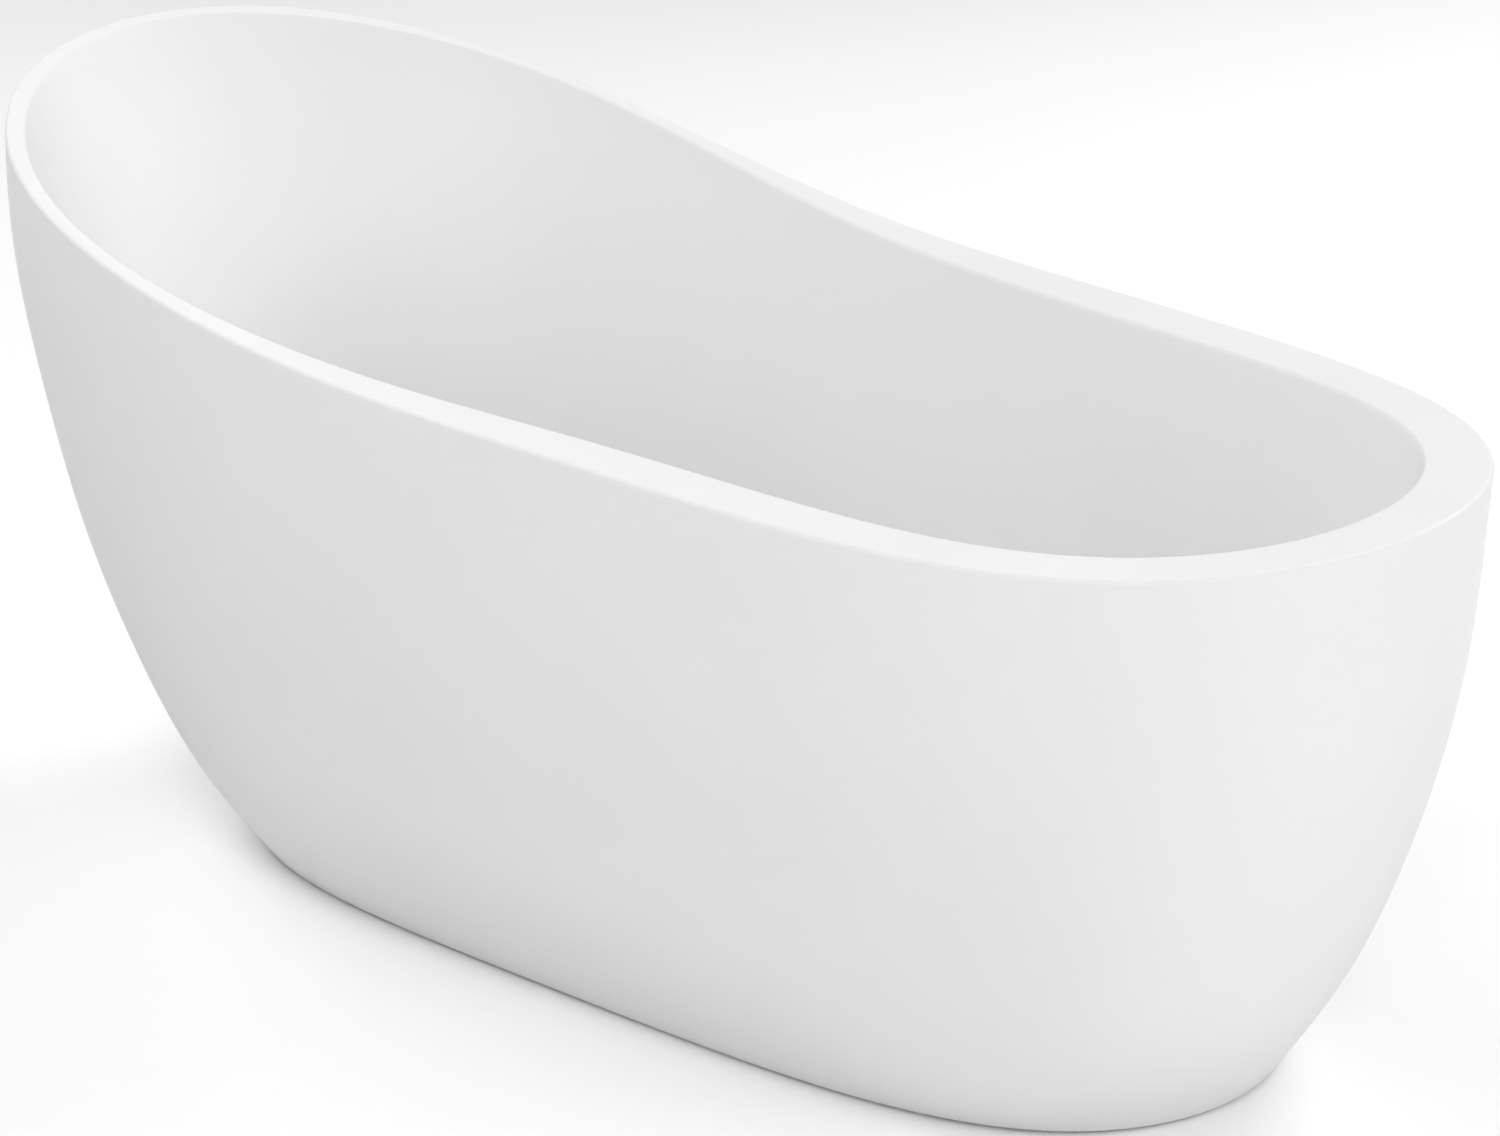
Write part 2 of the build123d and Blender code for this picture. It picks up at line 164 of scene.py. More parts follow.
def bowl(z, th, t=0.0):
    xk, yk, zk = inner_edge(th)
    xf, yf = egg(FL_HEAD, FL_FOOT, FL_B, C_FL, th)
    zf = BASIN_FLOOR - FLOOR_T * t
    if t:
        depth = np.clip((zk - z) / 90.0, 0, 1)
        depth = depth * depth * (3 - 2 * depth)
        hb = head_blend(th)
        tr = HEAD_T * hb + BOWL_T * (1 - hb)
        xk, yk = inward(xk, yk, -t * (tr + (BOWL_T - tr) * depth))
        xf, yf = inward(xf, yf, -t * 5.0)
    m = 0.50 + 0.24 * head_blend(th)
    q = np.clip((z - zf) / FILLET_H, 0, 1)
    g = (1 - m) * np.sqrt(1 - (1 - q) ** 2) + m * (z - zf) / (zk - zf)
    return xf + (xk - xf) * g, yf + (yk - yf) * g


# ------------------------------------------------------------------ mesh helpers
N = 400
TH = np.arange(N) * 2 * math.pi / N


def row(x, y, z):
    return np.stack([np.broadcast_to(x, (N,)), np.broadcast_to(y, (N,)), np.broadcast_to(z, (N,))], 1)


def ring_mesh(name, rows, sharp=(), closed=True, flip=False):
    """A quad mesh through closed rows of N points. closed joins the last row to the first. sharp lists rows whose edges are hard."""
    v = np.concatenate(rows) * MM
    v[:, 0] *= 0.99985        # keeps the head end inside the CAD's box
    r = len(rows)
    faces = []
    for i in range(r if closed else r - 1):
        a, b = i * N, ((i + 1) % r) * N
        for j in range(N):
            k = (j + 1) % N
            f = (a + j, a + k, b + k, b + j)
            faces.append(f[::-1] if flip else f)
    me = bpy.data.meshes.new(name)
    me.from_pydata(v.tolist(), [], faces)
    me.validate()
    me.polygons.foreach_set("use_smooth", np.ones(len(me.polygons), bool))
    if sharp:
        hard = set(sharp)
        flags = np.zeros(len(me.edges), bool)
        ev = np.empty(len(me.edges) * 2, int)
        me.edges.foreach_get("vertices", ev)
        ev = ev.reshape(-1, 2)
        same = (ev[:, 0] // N) == (ev[:, 1] // N)
        for h in hard:
            flags |= same & ((ev[:, 0] // N) == h)
        att = me.attributes.new("sharp_edge", "BOOLEAN", "EDGE")
        att.data.foreach_set("value", flags)
    me.update()
    ob = bpy.data.objects.new(name, me)
    bpy.context.scene.collection.objects.link(ob)
    return ob


def unit(a):
    return a / np.linalg.norm(a, axis=1)[:, None]


def fillet(corner, u, w, r, n):
    """Rows of an arc of radius r between directions u and w that leave the corner."""
    u, w = unit(u), unit(w)
    cosp = (u * w).sum(1)
    phi = np.arccos(np.clip(cosp, -1, 1))
    ln = r / np.tan(phi / 2)
    c = corner + unit(u + w) * (r / np.sin(phi / 2))[:, None]
    a = corner + u * ln[:, None] - c
    b = corner + w * ln[:, None] - c
    sweep = math.pi - phi
    out = []
    for i in range(n + 1):
        t = i / n
        s = (np.sin((1 - t) * sweep) / np.sin(sweep))[:, None] * a + (np.sin(t * sweep) / np.sin(sweep))[:, None] * b
        out.append(c + s)
    return out


# rim: outer edge, inner edge, and the directions that leave them
zr = np.full(N, 600.0)
for _ in range(12):
    xo, yo = outer(zr, TH)
    zr = rim_z(xo)
EDGE_O = row(xo, yo, zr)
xi, yi, zi = inner_edge(TH)
EDGE_I = row(xi, yi, zi)


def rim_dir(x, y, nx, ny):
    s = (rim_z(x + nx) - rim_z(x - nx)) / 2
    return row(nx, ny, s)


nox, noy = normals2(xo, yo)
nix, niy = normals2(xi, yi)
U_RIM_O = rim_dir(xo, yo, nox, noy)
U_RIM_I = rim_dir(xi, yi, -nix, -niy)
d = 2.0
xa, ya = outer(zr - d, TH)
U_WALL_O = row(xa, ya, zr - d) - EDGE_O
xa, ya = bowl(zi - d, TH)
U_WALL_I = row(xa, ya, zi - d) - EDGE_I
R_OUT, R_IN = 4.0, 4.5


def wall_rows_outer(z_from, z_to, n, first=None, last=None):
    """Rows on the outer face between two height curves."""
    ts = [i / n for i in range(n + 1)]
    out = []
    for t in ts:
        z = z_from + (z_to - z_from) * t
        x, y = outer(z, TH)
        out.append(row(x, y, z))
    return out


def seat_cutter(name, parts, n=96):
    """Lathe of (radius, local z) pairs about the overflow's axis, as a closed cutter."""
    za, zb = OVERFLOW_Z - 20, OVERFLOW_Z + 20
    x_a = float(bowl(za, TH)[0][0])
    x_b = float(bowl(zb, TH)[0][0])
    ln = math.hypot(x_b - x_a, zb - za)
    nrm = Vector(((za - zb) / ln, 0, (x_b - x_a) / ln))
    org = Vector((float(bowl(OVERFLOW_Z, TH)[0][0]), 0, OVERFLOW_Z))
    ux = Vector((0, 1, 0))
    uy = nrm.cross(ux)
    bm = bmesh.new()
    rings = []
    for r, z in parts:
        rings.append([bm.verts.new((org + nrm * z + ux * (r * math.cos(2 * math.pi * k / n)) + uy * (r * math.sin(2 * math.pi * k / n))) * MM) for k in range(n)])
    for a, b in zip(rings, rings[1:]):
        for k in range(n):
            bm.faces.new((a[k], a[(k + 1) % n], b[(k + 1) % n], b[k]))
    bm.faces.new(rings[0][::-1])
    bm.faces.new(rings[-1])
    bmesh.ops.recalc_face_normals(bm, faces=bm.faces)
    me = bpy.data.meshes.new(name)
    bm.to_mesh(me)
    bm.free()
    ob = bpy.data.objects.new(name, me)
    bpy.context.scene.collection.objects.link(ob)
    return ob, org, nrm


def apply_boolean(ob, cutter):
    """Cuts, then gives the uncut faces the normals that they had before."""
    src = ob.data.copy()
    src_normals = np.empty(len(src.loops) * 3, np.float32)
    src.corner_normals.foreach_get("vector", src_normals)
    src_normals = src_normals.reshape(-1, 3)
    bvh = BVHTree.FromPolygons([v.co for v in src.vertices], [tuple(p.vertices) for p in src.polygons])
    m = ob.modifiers.new("cut", "BOOLEAN")
    m.operation = "DIFFERENCE"
    m.solver = "EXACT"
    m.object = cutter
    dg = bpy.context.evaluated_depsgraph_get()
    me = bpy.data.meshes.new_from_object(ob.evaluated_get(dg))
    ob.modifiers.clear()
    old = {tuple(round(c, 6) for c in v.co) for v in src.vertices}
    me.polygons.foreach_set("use_smooth", np.ones(len(me.polygons), bool))
    normals = np.empty(len(me.loops) * 3, np.float32)
    me.corner_normals.foreach_get("vector", normals)
    normals = normals.reshape(-1, 3)
    for p in me.polygons:
        if all(tuple(round(c, 6) for c in me.vertices[v].co) in old for v in p.vertices):
            same = True
        else:
            same = False
        for li in p.loop_indices:
            co = me.vertices[me.loops[li].vertex_index].co
            hit, nrm, idx, dist = bvh.find_nearest(co * 0.999 + p.center * 0.001)
            if dist is not None and dist < 2e-5 and abs(nrm.dot(p.normal)) > 0.995:
                sp = src.polygons[idx]
                best, bw = Vector((0, 0, 0)), 0.0
                # inverse-distance blend of the source face's corner normals
                for sl in sp.loop_indices:
                    q = src.vertices[src.loops[sl].vertex_index].co
                    w = 1.0 / ((q - co).length + 1e-7)
                    best += Vector(src_normals[sl]) * w
                    bw += w
                normals[li] = best.normalized()
            else:
                normals[li] = p.normal
    me.normals_split_custom_set(normals.tolist())
    ob.data = me
    bpy.data.meshes.remove(src)
    bpy.data.objects.remove(cutter)
    return ob


# ------------------------------------------------------------------ basin casting
def build_basin():
    rows, sharp = [], []
    zs = zr - RIM_BAND                      # seam with the outer shell
    x, y = outer(zs, TH)
    sharp.append(len(rows))
    rows.append(row(x, y, zs))              # outer bottom edge of the band
    for dz in (0.4, 2.0, 4.5, 7.0):
        x, y = outer(zs + dz, TH)
        rows.append(row(x, y, zs + dz))
    arc = fillet(EDGE_O, U_WALL_O, U_RIM_O, R_OUT, 10)
    z = arc[0][:, 2] - 0.5
    x, y = outer(z, TH)
    rows.append(row(x, y, z))
    rows += arc
    arc_i = fillet(EDGE_I, U_RIM_I, U_WALL_I, R_IN, 10)
    a, b = arc[-1], arc_i[0]
    for t in (0.03, 0.12, 0.25, 0.4, 0.55, 0.7, 0.85, 0.96):
        p = a + (b - a) * t
        p[:, 2] = rim_z(p[:, 0])
        rows.append(p)
    rows += arc_i
    z0 = arc_i[-1][:, 2]
    zf = BASIN_FLOOR
    top_of_sweep = zf + FILLET_H
    for t in np.concatenate([[0.004], np.linspace(0.02, 1.0, 46)]):
        z = z0 + (top_of_sweep - z0) * t
        x, y = bowl(z, TH)
        rows.append(row(x, y, z))
    for ang in np.linspace(0, 90, 31)[1:]:
        z = zf + FILLET_H * (1 - math.sin(math.radians(ang)))
        x, y = bowl(np.full(N, z), TH)
        rows.append(row(x, y, z))
    # bathing floor, in to the waste recess
    f = rows[-1].copy()
    rc = 37.0

    def circle(r, z):
        return row(DRAIN_X + r * np.cos(TH), r * np.sin(TH), z)

    edge = circle(rc + 1.2, zf)
    for t in (0.02, 0.1, 0.25, 0.45, 0.65, 0.82, 0.93, 0.985):
        rows.append(f + (edge - f) * t)
    for ang in (0, 22.5, 45, 67.5, 90):
        s = math.radians(ang)
        rows.append(circle(rc + 1.2 - 1.2 * math.sin(s), zf - 1.2 * (1 - math.cos(s))))
    sharp.append(len(rows))
    rows.append(circle(rc, zf - 4.0))
    sharp.append(len(rows))
    rows.append(circle(26.0, zf - 4.0))
    sharp.append(len(rows))
    rows.append(circle(26.0, zf - FLOOR_T))
    # underside
    zu = zf - FLOOR_T
    xf, yf = bowl(np.full(N, zu), TH, 1.0)
    g = row(xf, yf, zu)
    c = rows[-1]
    for t in (0.04, 0.2, 0.45, 0.7, 0.9):
        rows.append(c + (g - c) * t)
    for ang in np.linspace(0, 90, 19):
        z = zu + FILLET_H * (1 - math.cos(math.radians(ang)))
        x, y = bowl(np.full(N, z), TH, 1.0)
        rows.append(row(x, y, z))
    z1 = zu + FILLET_H
    # meets the band's underside, where z = rim - band at that x
    zt = zs.copy()
    for _ in range(12):
        x, y = bowl(zt, TH, 1.0)
        zt = rim_z(x) - RIM_BAND
    for t in np.linspace(0, 1, 24)[1:]:
        z = z1 + (zt - z1) * t
        x, y = bowl(z, TH, 1.0)
        rows.append(row(x, y, z))
    sharp.append(len(rows) - 1)
    a, b = rows[-1], rows[0]
    for t in (0.25, 0.5, 0.75):
        p = a + (b - a) * t
        p[:, 2] = rim_z(p[:, 0]) - RIM_BAND
        rows.append(p)
    return ring_mesh("basin_cast", rows, sharp)


def build_skirt():
    rows, sharp = [], []
    zs = zr - RIM_BAND
    z0 = FLOOR_GAP
    th_t = HEAD_T * head_blend(TH) + SKIRT_T * (1 - head_blend(TH))
    x, y = outer(np.full(N, z0), TH)
    corner = row(x, y, z0)
    nx, ny = normals2(x, y)
    x1, y1 = outer(np.full(N, z0 + 2.0), TH)
    arc = fillet(corner, row(nx, ny, 0), row(x1, y1, z0 + 2.0) - corner, 2.2, 6)
    rows += arc
    zb = arc[-1][:, 2]
    n = 96
    for t in np.concatenate([[0.003], np.linspace(0.01, 0.985, n), [1 - 0.4 / 600]]):
        z = zb + (zs - zb) * t
        x, y = outer(z, TH)
        rows.append(row(x, y, z))
    x, y = outer(zs, TH)
    sharp.append(len(rows))
    rows.append(row(x, y, zs))
    # top edge, under the band
    zt = zs.copy()
    for _ in range(12):
        x, y = outer(zt, TH)
        x, y = inward(x, y, th_t)
        zt = rim_z(x) - RIM_BAND
    sharp.append(len(rows))
    rows.append(row(x, y, zt))
    zf = FLOOR_GAP + FLANGE_T
    for t in np.linspace(0, 1, 40)[1:-1]:
        z = zt + (zf + 6 - zt) * t
        x, y = outer(z, TH)
        x, y = inward(x, y, th_t)
        rows.append(row(x, y, z))
    # sweep into the bottom flange
    xw, yw = outer(np.full(N, zf), TH)
    nx, ny = normals2(xw, yw)
    cx, cy = inward(xw, yw, th_t)
    corner = row(cx, cy, zf)
    xa, ya = outer(np.full(N, zf + 3), TH)
    xa, ya = inward(xa, ya, th_t)
    rows += fillet(corner, row(xa, ya, zf + 3) - corner, row(nx, ny, 0), 5.0, 6)
    xb, yb = outer(np.full(N, z0), TH)
    hx, hy = inward(xb, yb, FLANGE_W)
    hole = row(hx, hy, zf)
    a = rows[-1]
    rows.append(a + (hole - a) * 0.5)
    arc2 = fillet(hole, unit(a - hole), row(0, 0, -1.0) + hole * 0, 1.5, 4)
    rows += arc2
    low = row(hx, hy, z0)
    sharp.append(len(rows))
    rows.append(low)
    rows.append(low + (arc[0] - low) * 0.5)
    return ring_mesh("outer_shell_cast", rows, sharp)


# ------------------------------------------------------------------ materials
class Mat:
    """A short way to write a node material."""

    def __init__(self, name):
        self.m = bpy.data.materials.new(name)
        self.m.use_nodes = True
        self.t = self.m.node_tree
        self.t.nodes.clear()
        self.out = self.t.nodes.new("ShaderNodeOutputMaterial")
        self.p = self.t.nodes.new("ShaderNodeBsdfPrincipled")
        self.t.links.new(self.p.outputs[0], self.out.inputs[0])
        self.tc = self.t.nodes.new("ShaderNodeTexCoord")

    def node(self, kind, **kw):
        n = self.t.nodes.new(kind)
        for k, v in kw.items():
            if k in n.inputs:
                n.inputs[k].default_value = v
            else:
                setattr(n, k, v)
        return n

    def link(self, a, b):
        self.t.links.new(a, b)

    def noise(self, scale, detail=3.0, rough=0.5, dist=0.0, vec=None):
        n = self.t.nodes.new("ShaderNodeTexNoise")
        n.inputs["Scale"].default_value = scale
        n.inputs["Detail"].default_value = detail
        n.inputs["Roughness"].default_value = rough
        n.inputs["Distortion"].default_value = dist
        self.link(vec if vec is not None else self.tc.outputs["Object"], n.inputs["Vector"])
        return n.outputs["Fac"]

    def scaled(self, x, y, z, rot=(0, 0, 0)):
        n = self.t.nodes.new("ShaderNodeMapping")
        n.inputs["Scale"].default_value = (x, y, z)
        n.inputs["Rotation"].default_value = rot
        self.link(self.tc.outputs["Object"], n.inputs["Vector"])
        return n.outputs["Vector"]

    def ramp(self, fac, stops):
        n = self.t.nodes.new("ShaderNodeValToRGB")
        cr = n.color_ramp
        while len(cr.elements) < len(stops):
            cr.elements.new(0.5)
        for e, (pos, col) in zip(cr.elements, stops):
            e.position = pos
            e.color = (*col, 1.0) if len(col) == 3 else col
        self.link(fac, n.inputs["Fac"])
        return n.outputs["Color"]

    def range(self, fac, lo, hi, a=0.0, b=1.0):
        n = self.t.nodes.new("ShaderNodeMapRange")
        n.inputs["From Min"].default_value = a
        n.inputs["From Max"].default_value = b
        n.inputs["To Min"].default_value = lo
        n.inputs["To Max"].default_value = hi
        self.link(fac, n.inputs["Value"])
        return n.outputs["Result"]

    def mix(self, fac, a, b, mode="MIX"):
        n = self.t.nodes.new("ShaderNodeMix")
        n.data_type = "RGBA"
        n.blend_type = mode
        for sock, val in ((n.inputs[0], fac), (n.inputs[6], a), (n.inputs[7], b)):
            if isinstance(val, (int, float)):
                sock.default_value = val
            elif isinstance(val, tuple):
                sock.default_value = (*val, 1.0)
            else:
                self.link(val, sock)
        return n.outputs[2]

    def math(self, op, a, b):
        n = self.t.nodes.new("ShaderNodeMath")
        n.operation = op
        for sock, val in ((n.inputs[0], a), (n.inputs[1], b)):
            if isinstance(val, (int, float)):
                sock.default_value = val
            else:
                self.link(val, sock)
        return n.outputs[0]

    def bump(self, layers):
        """layers: (height output, distance in metres, strength)"""
        last = None
        for h, dist, strength in layers:
            n = self.t.nodes.new("ShaderNodeBump")
            n.inputs["Distance"].default_value = dist
            n.inputs["Strength"].default_value = strength
            self.link(h, n.inputs["Height"])
            if last is not None:
                self.link(last, n.inputs["Normal"])
            last = n.outputs["Normal"]
        self.link(last, self.p.inputs["Normal"])


def solid_surface():
    """Matte cast mineral-resin: nearly even white, faint clouding, very fine sanded tooth."""
    m = Mat("solid_surface_matte")
    cloud = m.noise(2.6, 4.0, 0.55)
    fine = m.noise(420.0, 2.0, 0.6)
    grain = m.noise(1500.0, 1.0, 0.5)
    base = m.ramp(cloud, [(0.25, (0.708, 0.708, 0.709)), (0.75, (0.732, 0.732, 0.732))])
    speck = m.ramp(fine, [(0.60, (0, 0, 0)), (0.78, (1, 1, 1))])
    base = m.mix(m.math("MULTIPLY", speck, 0.05), base, (0.66, 0.66, 0.66))
    m.link(base, m.p.inputs["Base Color"])
    r = m.range(m.noise(9.0, 5.0, 0.6), 0.52, 0.62, 0.3, 0.7)
    r = m.math("ADD", r, m.range(grain, -0.02, 0.02))
    m.link(r, m.p.inputs["Roughness"])
    m.p.inputs["IOR"].default_value = 1.5
    m.p.inputs["Specular IOR Level"].default_value = 0.24
    m.bump([(m.noise(5.5, 2.0, 0.4), 0.0005, 0.12), (grain, 0.00004, 0.35), (fine, 0.00005, 0.25)])
    return m.m


def galvanised():
    m = Mat("galvanised_steel_spangle")
    v = m.node("ShaderNodeTexVoronoi", feature="F1")
    v.inputs["Scale"].default_value = 150.0
    m.link(m.tc.outputs["Object"], v.inputs["Vector"])
    cell = m.range(v.outputs["Color"], 0.0, 1.0)
    sp = m.ramp(cell, [(0.1, (0.40, 0.42, 0.44)), (0.5, (0.52, 0.54, 0.56)), (0.9, (0.64, 0.66, 0.67))])
    dust = m.noise(26.0, 6.0, 0.65)
    col = m.mix(m.range(dust, 0.0, 0.45, 0.45, 0.7), sp, (0.55, 0.55, 0.54))
    m.link(col, m.p.inputs["Base Color"])
    m.p.inputs["Metallic"].default_value = 1.0
    m.link(m.range(dust, 0.34, 0.58, 0.3, 0.7), m.p.inputs["Roughness"])
    m.bump([(cell, 0.00006, 0.35), (dust, 0.0002, 0.2)])
    return m.m


def metal(name, lo, hi, rough, scale=120.0, stretch=(1, 1, 1), bump=0.00003, wear=None):
    m = Mat(name)
    vec = m.scaled(*stretch)
    n = m.noise(scale, 4.0, 0.6, vec=vec)
    big = m.noise(18.0, 4.0, 0.6)
    col = m.ramp(n, [(0.3, lo), (0.7, hi)])
    if wear:
        col = m.mix(m.range(big, 0.0, 0.5, 0.5, 0.75), col, wear)
    m.link(col, m.p.inputs["Base Color"])
    m.p.inputs["Metallic"].default_value = 1.0
    r = m.math("ADD", m.range(big, rough * 0.8, rough * 1.3, 0.3, 0.7), m.range(n, -0.03, 0.03))
    m.link(r, m.p.inputs["Roughness"])
    m.bump([(n, bump, 0.4)])
    return m.m


def polymer(name, lo, hi, rough, scale=300.0, bump=0.00008):
    m = Mat(name)
    n = m.noise(scale, 3.0, 0.6)
    big = m.noise(14.0, 4.0, 0.6)
    m.link(m.ramp(big, [(0.3, lo), (0.7, hi)]), m.p.inputs["Base Color"])
    m.link(m.range(n, rough - 0.06, rough + 0.06, 0.3, 0.7), m.p.inputs["Roughness"])
    m.bump([(n, bump, 0.35), (big, 0.0002, 0.1)])
    return m.m


MATS = {
    "solid_surface": solid_surface(),
    "galvanised_steel": galvanised(),
    "zinc_plated": metal("zinc_plated_steel", (0.55, 0.56, 0.58), (0.68, 0.69, 0.70), 0.28, 240.0, wear=(0.58, 0.55, 0.46)),
    "chrome_trim": metal("polished_chrome", (0.78, 0.79, 0.80), (0.82, 0.83, 0.84), 0.07, 300.0, bump=0.000004),
    "brass_parts": metal("machined_brass", (0.66, 0.50, 0.25), (0.78, 0.62, 0.34), 0.24, 500.0, (1, 1, 12), wear=(0.5, 0.36, 0.2)),
    "spring_steel": metal("stainless_steel", (0.52, 0.53, 0.54), (0.64, 0.65, 0.66), 0.25, 380.0, (1, 1, 8)),
    "pad_rubber": polymer("moulded_rubber", (0.028, 0.028, 0.03), (0.045, 0.045, 0.046), 0.62, 700.0),
    "seal_rubber": polymer("seal_rubber", (0.022, 0.022, 0.023), (0.035, 0.035, 0.036), 0.55, 900.0),
    "waste_plastic": polymer("moulded_white_plastic", (0.70, 0.70, 0.68), (0.78, 0.78, 0.76), 0.36, 500.0),
    "hose_plastic": polymer("hose_plastic", (0.62, 0.62, 0.60), (0.72, 0.72, 0.70), 0.42, 420.0),
}

SLOT_OF = {s["node"]: s["material_slot"] for s in frame["record"]["subparts"]}
for node, ob in frame["nodes"].items():
    ob.data.materials.clear()
    ob.data.materials.append(MATS[SLOT_OF[node]])


def dress(ob, slot_name, body="tub"):
    ob.data.materials.clear()
    ob.data.materials.append(MATS[slot_name])
    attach(ob, body)
    return ob


basin = build_basin()
cutter, OV_O, OV_N = seat_cutter("overflow_cut", [(31.0, -32.0), (31.0, -11.6), (22.0, -11.6), (22.0, -0.6), (33.5, -0.6), (33.5, 14.0)])
apply_boolean(basin, cutter)
dress(basin, "solid_surface")
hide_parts("basin")
skirt = build_skirt()
dress(skirt, "solid_surface")
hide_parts("outer_skirt")

# ------------------------------------------------------------------ overflow hose, corrugated
def line_of(points, steps):
    """Points along the NURBS spline that has these control points, in metres."""
    cu = bpy.data.curves.new("route", "CURVE")
    cu.dimensions = "3D"
    sp = cu.splines.new("NURBS")
    sp.points.add(len(points) - 1)
    for p, co in zip(sp.points, points):
        p.co = (*co, 1.0)
    sp.order_u = 3
    sp.use_endpoint_u = True
    sp.resolution_u = steps
    ob = bpy.data.objects.new("route", cu)
    bpy.context.scene.collection.objects.link(ob)
    bpy.context.view_layer.update()
    me = bpy.data.meshes.new_from_object(ob.evaluated_get(bpy.context.evaluated_depsgraph_get()))
    out = [v.co.copy() for v in me.vertices]
    bpy.data.meshes.remove(me)
    bpy.data.objects.remove(ob)
    bpy.data.curves.remove(cu)
    return out


def hose_mesh():
    ovb = OV_O + OV_N * (-11.6 - 1.5 - 12)
    sp_x = ovb.x
    ends = [(sp_x, 0, OVERFLOW_Z - 34), (sp_x, 0, 368), (715, 0, 172), (640, 0, 74.0), (DRAIN_X + 36, 0, 74.0)]
    line = line_of([(x * MM, y * MM, z * MM) for x, y, z in ends], 300)
    line = [p / MM for p in line]
    n = 48
    bm = bmesh.new()
    total = len(line)
    s = 0.0
    length = sum((q - p).length for p, q in zip(line, line[1:]))
    rings_o, rings_i = [], []
    side = Vector((0, 1, 0))
    for i, p in enumerate(line):
        t = (line[min(i + 1, total - 1)] - line[max(i - 1, 0)]).normalized()
        up = t.cross(side).normalized()
        if i:
            s += (p - line[i - 1]).length
        cuff = min(s, length - s)
        if cuff < 24.0:
            r, ri = 13.95, 12.62
        else:
            ph = (s - 24.0) % 5.2 / 5.2
            r = 13.95 - 1.0 * (0.5 - 0.5 * math.cos(2 * math.pi * ph)) ** 1.4
            ri = r - 0.95
        for rings, rad in ((rings_o, r), (rings_i, ri)):
            rings.append([bm.verts.new((p + side * (rad * math.cos(a)) + up * (rad * math.sin(a))) * MM) for a in [2 * math.pi * k / n for k in range(n)]])
    for rings, rev in ((rings_o, False), (rings_i, True)):
        for p, q in zip(rings, rings[1:]):
            for k in range(n):
                f = (p[k], p[(k + 1) % n], q[(k + 1) % n], q[k])
                bm.faces.new(f[::-1] if rev else f)
    for p, q, rev in ((rings_o[0], rings_i[0], True), (rings_o[-1], rings_i[-1], False)):
        for k in range(n):
            f = (p[k], p[(k + 1) % n], q[(k + 1) % n], q[k])
            bm.faces.new(f[::-1] if rev else f)
    bmesh.ops.recalc_face_normals(bm, faces=bm.faces)
    for f in bm.faces:
        f.smooth = True
    me = bpy.data.meshes.new("overflow_hose_corrugated")
    bm.to_mesh(me)
    bm.free()
    ob = bpy.data.objects.new("overflow_hose_corrugated", me)
    bpy.context.scene.collection.objects.link(ob)
    return ob


hose = hose_mesh()
dress(hose, "hose_plastic")
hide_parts("overflow_hose")


# ------------------------------------------------------------------ click spring coil, built inside the CAD spring's box
def spring_mesh():
    lo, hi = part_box("click_spring")
    z0, z1 = lo.z, hi.z
    cx, cy = (lo.x + hi.x) / 2, (lo.y + hi.y) / 2
    wire, rad, turns = 0.0004, 0.0049, 3.0
    steps, n = 240, 14
    bm = bmesh.new()
    rings = []
    for i in range(steps + 1):
        t = i / steps
        a = 2 * math.pi * turns * t
        c = Vector((cx + rad * math.cos(a), cy + rad * math.sin(a), z0 + wire + (z1 - z0 - 2 * wire) * t))
        rise = (z1 - z0 - 2 * wire) / (2 * math.pi * turns)
        tan = Vector((-rad * math.sin(a), rad * math.cos(a), rise)).normalized()
        out = Vector((math.cos(a), math.sin(a), 0.0))
        up = tan.cross(out).normalized()
        rings.append([bm.verts.new(c + out * (wire * math.cos(b)) + up * (wire * math.sin(b))) for b in [2 * math.pi * k / n for k in range(n)]])
    for p, q in zip(rings, rings[1:]):
        for k in range(n):
            bm.faces.new((p[k], p[(k + 1) % n], q[(k + 1) % n], q[k]))
    bm.faces.new(rings[0][::-1])
    bm.faces.new(rings[-1])
    bmesh.ops.recalc_face_normals(bm, faces=bm.faces)
    for f in bm.faces:
        f.smooth = len(f.verts) == 4
    me = bpy.data.meshes.new("click_spring_coil")
    bm.to_mesh(me)
    bm.free()
    ob = bpy.data.objects.new("click_spring_coil", me)
    bpy.context.scene.collection.objects.link(ob)
    return ob, Vector((cx, cy, z0)), z1 - z0


spring, spring_foot, spring_len = spring_mesh()
dress(spring, "spring_steel")
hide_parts("click_spring")
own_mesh(spring)

# ------------------------------------------------------------------ floor, world, lights, camera
def build_floor():
    bm = bmesh.new()
    bmesh.ops.create_grid(bm, x_segments=24, y_segments=24, size=9.0)
    me = bpy.data.meshes.new("studio_floor")
    bm.to_mesh(me)
    bm.free()
    ob = bpy.data.objects.new("studio_floor", me)
    bpy.context.scene.collection.objects.link(ob)
    m = Mat("studio_floor_paper")
    n = m.noise(1.4, 3.0, 0.5)
    m.link(m.ramp(n, [(0.3, (0.895, 0.895, 0.895)), (0.7, (0.905, 0.905, 0.905))]), m.p.inputs["Base Color"])
    m.link(m.range(m.noise(60.0, 3.0, 0.5), 0.78, 0.9), m.p.inputs["Roughness"])
    m.p.inputs["Specular IOR Level"].default_value = 0.15
    m.bump([(m.noise(300.0, 2.0, 0.5), 0.0001, 0.2)])
    ob.data.materials.append(m.m)
    ob.location.z = -0.0006
    return ob


build_floor()
scene = bpy.context.scene
scene.view_settings.view_transform = "Standard"
scene.view_settings.look = "None"
scene.view_settings.exposure = 0.0
scene.view_settings.gamma = 1.0

WORLD = 0.1
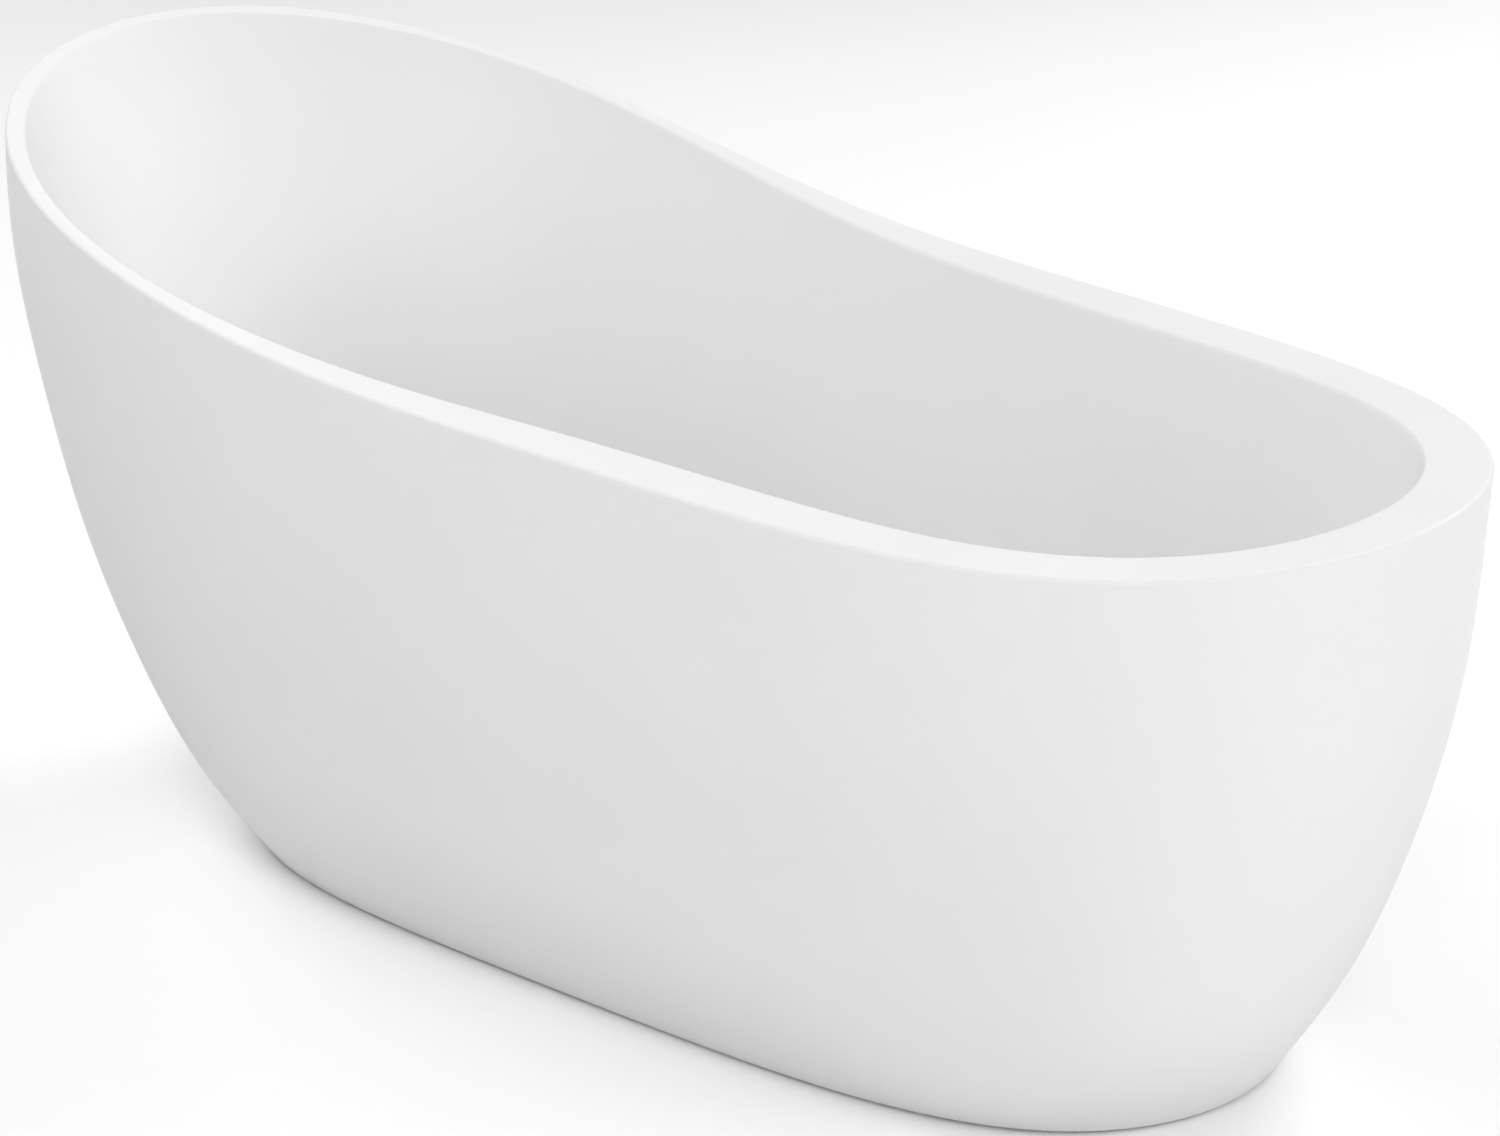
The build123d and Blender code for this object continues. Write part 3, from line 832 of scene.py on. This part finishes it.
# name, azimuth from +X towards -Y and elevation in degrees, distance, diameter, watts
LIGHTS = [
    ("foot_soft", 20, 22, 3.5, 3.0, 14.3),
    ("front_soft", 60, 45, 3.0, 3.0, 21.7),
    ("foot_side", -20, 22, 4.0, 2.0, 39.5),
    ("front_low", 45, 14, 5.0, 2.6, 54.7),
    ("near_head", 135, 35, 5.0, 2.6, 15.9),
    ("head", 180, 35, 5.0, 2.6, 92.6),
    ("foot_far", -45, 35, 5.0, 2.6, 28.8),
    ("far", -90, 35, 5.0, 2.6, 134.6),
    ("near_high", 110, 55, 3.0, 1.5, 30.5),
]
world = bpy.data.worlds.new("studio_world")
scene.world = world
world.use_nodes = True
bg = world.node_tree.nodes["Background"]
bg.inputs[0].default_value = (1.0, 1.0, 1.0, 1.0)
bg.inputs[1].default_value = WORLD
TARGET = Vector((0.0, 0.0, 0.35))
for name, az, el, dist, size, watts in LIGHTS:
    data = bpy.data.lights.new(name, "AREA")
    data.shape = "DISK"
    data.size = size
    data.energy = watts
    ob = bpy.data.objects.new(name, data)
    scene.collection.objects.link(ob)
    a, e = math.radians(az), math.radians(el)
    dv = Vector((math.cos(a) * math.cos(e), -math.sin(a) * math.cos(e), math.sin(e)))
    ob.location = TARGET + dv * dist
    ob.rotation_euler = dv.to_track_quat("Z", "Y").to_euler()

# Camera: azimuth and elevation of the view, focal length and principal point for a 1500 x 1136 image
AZ, EL = math.radians(44.0519), math.radians(21.0844)
F_PX = math.exp(8.693943)
PX_PER_M = math.exp(6.914493)
TU, TV = 711.4461, 893.455
CX, CY = 745.491, 566.568
back = Vector((math.sin(AZ) * math.cos(EL), -math.cos(AZ) * math.cos(EL), math.sin(EL)))
right = Vector((math.cos(AZ), math.sin(AZ), 0.0))
up = back.cross(right)
DIST = F_PX / PX_PER_M
tx, ty = (TU - CX) * DIST / F_PX, (TV - CY) * DIST / F_PX
pos = back * DIST - right * tx + up * ty + Vector((-X_CENTRE * MM, 0.0, FLOOR_GAP * MM))
cam_data = bpy.data.cameras.new("photo_camera")
cam_data.sensor_fit = "HORIZONTAL"
cam_data.sensor_width = 36.0
cam_data.lens = F_PX / 1500.0 * 36.0
cam_data.shift_x = (750.0 - CX) / 1500.0
cam_data.shift_y = (CY - 568.0) / 1500.0
cam_data.clip_start = 0.05
cam_data.clip_end = 100.0
cam = bpy.data.objects.new("photo_camera", cam_data)
scene.collection.objects.link(cam)
rot = Matrix((right, up, back)).transposed()
cam.matrix_world = Matrix.Translation(pos) @ rot.to_4x4()
scene.camera = cam
